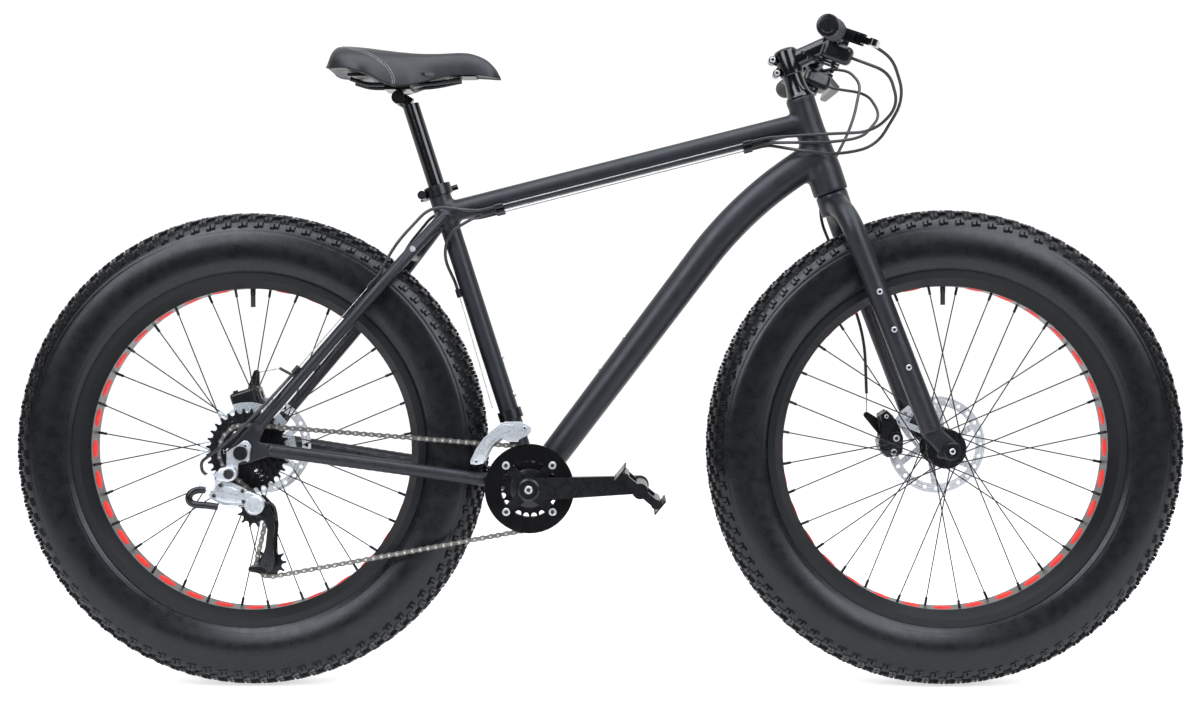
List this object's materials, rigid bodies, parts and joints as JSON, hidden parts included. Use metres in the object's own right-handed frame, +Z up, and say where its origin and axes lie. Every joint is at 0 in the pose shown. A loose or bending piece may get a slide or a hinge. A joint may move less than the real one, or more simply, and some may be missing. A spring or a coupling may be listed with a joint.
{
  "type": "fat tire bike",
  "caption": "Fat tire mountain bike with a hardtail frame, rigid fork, disc brakes, wide knobby tires, derailleur gears and a padded saddle.",
  "frame": {"origin": "on the floor, on the middle plane, half-way between the two axles", "axes": "+X forward, +Y to the rider's left, +Z up"},
  "size_m": [1.8917, 0.6928, 1.0656],
  "materials": {
    "frame_paint": "matte paint",
    "black_alloy": "satin anodised",
    "silver_alloy": "bare satin",
    "steel": "brushed",
    "dark_steel": "blackened",
    "tire_rubber": "satin",
    "tube_rubber": "matte",
    "grip_rubber": "matte",
    "cover": "stitched",
    "black_plastic": "matte",
    "gloss_black": "gloss"
  },
  "bodies": {
    "frame": {"head_tube": "frame_paint", "top_tube": "frame_paint", "down_tube": "frame_paint", "seat_tube": "frame_paint", "bottom_bracket_shell": "frame_paint", "rear_triangle": "frame_paint", "frame_fittings": "silver_alloy", "rear_axle": "dark_steel", "rear_brake_caliper": "black_alloy", "rear_derailleur_body": "silver_alloy", "front_derailleur_body": "silver_alloy", "cables": "black_plastic", "chain": "steel"},
    "steering": {"fork": "frame_paint", "stem": "black_alloy", "handlebar": "black_alloy", "grips": "grip_rubber", "bar_controls": "black_plastic", "front_brake_caliper": "black_alloy", "front_axle": "dark_steel", "front_brake_housing": "black_plastic"},
    "front_wheel": {"front_tire": "tire_rubber", "front_inner_tube": "tube_rubber", "front_rim": "black_alloy", "front_spokes": "dark_steel", "front_hub": "black_alloy", "front_rotor": "steel"},
    "rear_wheel": {"rear_tire": "tire_rubber", "rear_inner_tube": "tube_rubber", "rear_rim": "black_alloy", "rear_spokes": "dark_steel", "rear_hub": "black_alloy", "rear_rotor": "steel"},
    "cassette": {"cassette": "dark_steel"},
    "crank": {"crank_arms": "black_alloy", "crank_axles": "steel", "chainrings": "dark_steel", "bash_guard": "gloss_black", "chainring_bolts": "dark_steel"},
    "pedal_right": {"pedal_right": "black_alloy"},
    "pedal_left": {"pedal_left": "black_alloy"},
    "seat": {"seatpost": "black_alloy", "saddle_cover": "cover", "saddle_base": "dark_steel"},
    "seat_clamp_lever": {"seat_clamp_lever": "black_alloy"},
    "derailleur_outer_link": {"derailleur_outer_link": "silver_alloy"},
    "derailleur_inner_link": {"derailleur_inner_link": "silver_alloy"},
    "derailleur_knuckle": {"derailleur_knuckle": "silver_alloy"},
    "derailleur_cage": {"derailleur_cage": "dark_steel"},
    "guide_pulley": {"guide_pulley": "black_plastic"},
    "tension_pulley": {"tension_pulley": "black_plastic"},
    "front_derailleur_cage": {"front_derailleur_cage": "steel"},
    "brake_lever_right": {"brake_lever_right": "black_alloy"},
    "brake_lever_left": {"brake_lever_left": "black_alloy"},
    "front_brake_arm": {"front_brake_arm": "black_alloy"},
    "rear_brake_arm": {"rear_brake_arm": "black_alloy"},
    "thumb_lever_right": {"thumb_lever_right": "black_plastic"},
    "thumb_lever_left": {"thumb_lever_left": "black_plastic"},
    "release_lever_right": {"release_lever_right": "black_plastic"},
    "release_lever_left": {"release_lever_left": "black_plastic"}
  },
  "joints": [
    {"name": "steering", "type": "hinge", "parent": "frame", "child": "steering", "pos_m": [0.37674, 0, 0.80872], "axis": [-0.3107, 0, 0.9505], "range_deg": [-60, 60], "deforming": ["cables", "front_brake_housing"]},
    {"name": "front_wheel_spin", "type": "hinge", "parent": "steering", "child": "front_wheel", "pos_m": [0.561, 0, 0.385], "axis": [0, 1, 0], "continuous": true},
    {"name": "rear_wheel_spin", "type": "hinge", "parent": "frame", "child": "rear_wheel", "pos_m": [-0.561, 0, 0.385], "axis": [0, 1, 0], "continuous": true},
    {"name": "crank_spin", "type": "hinge", "parent": "frame", "child": "crank", "pos_m": [-0.10568, 0, 0.327], "axis": [0, 1, 0], "continuous": true, "deforming": ["chain"]},
    {"name": "cassette_spin", "type": "hinge", "parent": "frame", "child": "cassette", "pos_m": [-0.561, 0, 0.385], "axis": [0, 1, 0], "continuous": true, "deforming": ["chain"]},
    {"name": "pedal_right_spin", "type": "hinge", "parent": "crank", "child": "pedal_right", "pos_m": [0.06915, 0, 0.33463], "axis": [0, 1, 0], "continuous": true},
    {"name": "pedal_left_spin", "type": "hinge", "parent": "crank", "child": "pedal_left", "pos_m": [-0.28051, 0, 0.31937], "axis": [0, 1, 0], "continuous": true},
    {"name": "seat_height", "type": "slide", "parent": "frame", "child": "seat", "axis": [-0.3024, 0, 0.9532], "range_m": [-0.08, 0.06]},
    {"name": "seat_clamp", "type": "hinge", "parent": "frame", "child": "seat_clamp_lever", "pos_m": [-0.2818, 0.021, 0.79621], "axis": [-0.3024, 0, 0.9532], "range_deg": [0, 110]},
    {"name": "derailleur_swing", "type": "hinge", "parent": "frame", "child": "derailleur_outer_link", "pos_m": [-0.60908, -0.10867, 0.33212], "axis": [-0.4153, 0, -0.9097], "range_deg": [-17.5, 21], "stiffness_Nm_per_rad": 2, "deforming": ["chain", "cables"]},
    {"name": "derailleur_inner_swing", "type": "hinge", "parent": "frame", "child": "derailleur_inner_link", "pos_m": [-0.61292, -0.09533, 0.33388], "axis": [-0.4153, 0, -0.9097], "range_deg": [-17.5, 21]},
    {"name": "derailleur_knuckle_turn", "type": "hinge", "parent": "derailleur_outer_link", "child": "derailleur_knuckle", "pos_m": [-0.56308, -0.09267, 0.31112], "axis": [-0.4153, 0, -0.9097], "range_deg": [-21, 17.5], "deforming": ["chain"]},
    {"name": "derailleur_cage_turn", "type": "hinge", "parent": "derailleur_knuckle", "child": "derailleur_cage", "pos_m": [-0.541, 0, 0.302], "axis": [0, 1, 0], "range_deg": [-30, 20], "stiffness_Nm_per_rad": 1, "deforming": ["chain"]},
    {"name": "guide_pulley_spin", "type": "hinge", "parent": "derailleur_cage", "child": "guide_pulley", "pos_m": [-0.5495, 0, 0.2883], "axis": [0, 1, 0], "continuous": true, "deforming": ["chain"]},
    {"name": "tension_pulley_spin", "type": "hinge", "parent": "derailleur_cage", "child": "tension_pulley", "pos_m": [-0.52246, 0, 0.20627], "axis": [0, 1, 0], "continuous": true, "deforming": ["chain"]},
    {"name": "front_derailleur_slide", "type": "slide", "parent": "frame", "child": "front_derailleur_cage", "axis": [0, 1, 0], "range_m": [0, 0.008], "stiffness_N_per_m": 500, "deforming": ["chain", "cables"]},
    {"name": "brake_lever_right_pull", "type": "hinge", "parent": "steering", "child": "brake_lever_right", "pos_m": [0.39797, -0.21447, 1.01169], "axis": [-0.3369, 0.1719, -0.9257], "range_deg": [0, 22], "stiffness_Nm_per_rad": 1, "springref_deg": -5.73},
    {"name": "brake_lever_left_pull", "type": "hinge", "parent": "steering", "child": "brake_lever_left", "pos_m": [0.39797, 0.21447, 1.01169], "axis": [0.3369, 0.1719, 0.9257], "range_deg": [0, 22], "stiffness_Nm_per_rad": 1, "springref_deg": -5.73, "deforming": ["front_brake_housing"]},
    {"name": "front_brake_arm_turn", "type": "hinge", "parent": "steering", "child": "front_brake_arm", "pos_m": [0.48402, 0.057, 0.40277], "axis": [0, 1, 0], "range_deg": [0, 17.6], "deforming": ["front_brake_housing"]},
    {"name": "rear_brake_arm_turn", "type": "hinge", "parent": "frame", "child": "rear_brake_arm", "pos_m": [-0.58541, 0.0698, 0.46013], "axis": [0, 1, 0], "range_deg": [0, 17.6], "deforming": ["cables"]},
    {"name": "thumb_lever_right_push", "type": "hinge", "parent": "steering", "child": "thumb_lever_right", "pos_m": [0.36687, -0.15244, 0.987], "axis": [-0.3369, 0.1719, -0.9257], "range_deg": [0, 35], "stiffness_Nm_per_rad": 0.3, "springref_deg": -8.59},
    {"name": "thumb_lever_left_push", "type": "hinge", "parent": "steering", "child": "thumb_lever_left", "pos_m": [0.36687, 0.15244, 0.987], "axis": [0.3369, 0.1719, 0.9257], "range_deg": [0, 35], "stiffness_Nm_per_rad": 0.3, "springref_deg": -8.59},
    {"name": "release_lever_right_push", "type": "hinge", "parent": "steering", "child": "release_lever_right", "pos_m": [0.36687, -0.15244, 0.987], "axis": [-0.3369, 0.1719, -0.9257], "range_deg": [0, 18], "stiffness_Nm_per_rad": 0.2, "springref_deg": -11.46},
    {"name": "release_lever_left_push", "type": "hinge", "parent": "steering", "child": "release_lever_left", "pos_m": [0.36687, 0.15244, 0.987], "axis": [0.3369, 0.1719, 0.9257], "range_deg": [0, 18], "stiffness_Nm_per_rad": 0.2, "springref_deg": -11.46}
  ],
  "couplings": [
    {"joint": "cassette_spin", "follows": "crank_spin", "ratio": 1.5238},
    {"joint": "guide_pulley_spin", "follows": "crank_spin", "ratio": -2.9091},
    {"joint": "tension_pulley_spin", "follows": "crank_spin", "ratio": 2.9091},
    {"joint": "derailleur_inner_swing", "follows": "derailleur_swing", "ratio": 1},
    {"joint": "derailleur_knuckle_turn", "follows": "derailleur_swing", "ratio": -1},
    {"joint": "rear_brake_arm_turn", "follows": "brake_lever_right_pull", "ratio": 0.8},
    {"joint": "front_brake_arm_turn", "follows": "brake_lever_left_pull", "ratio": 0.8}
  ]
}
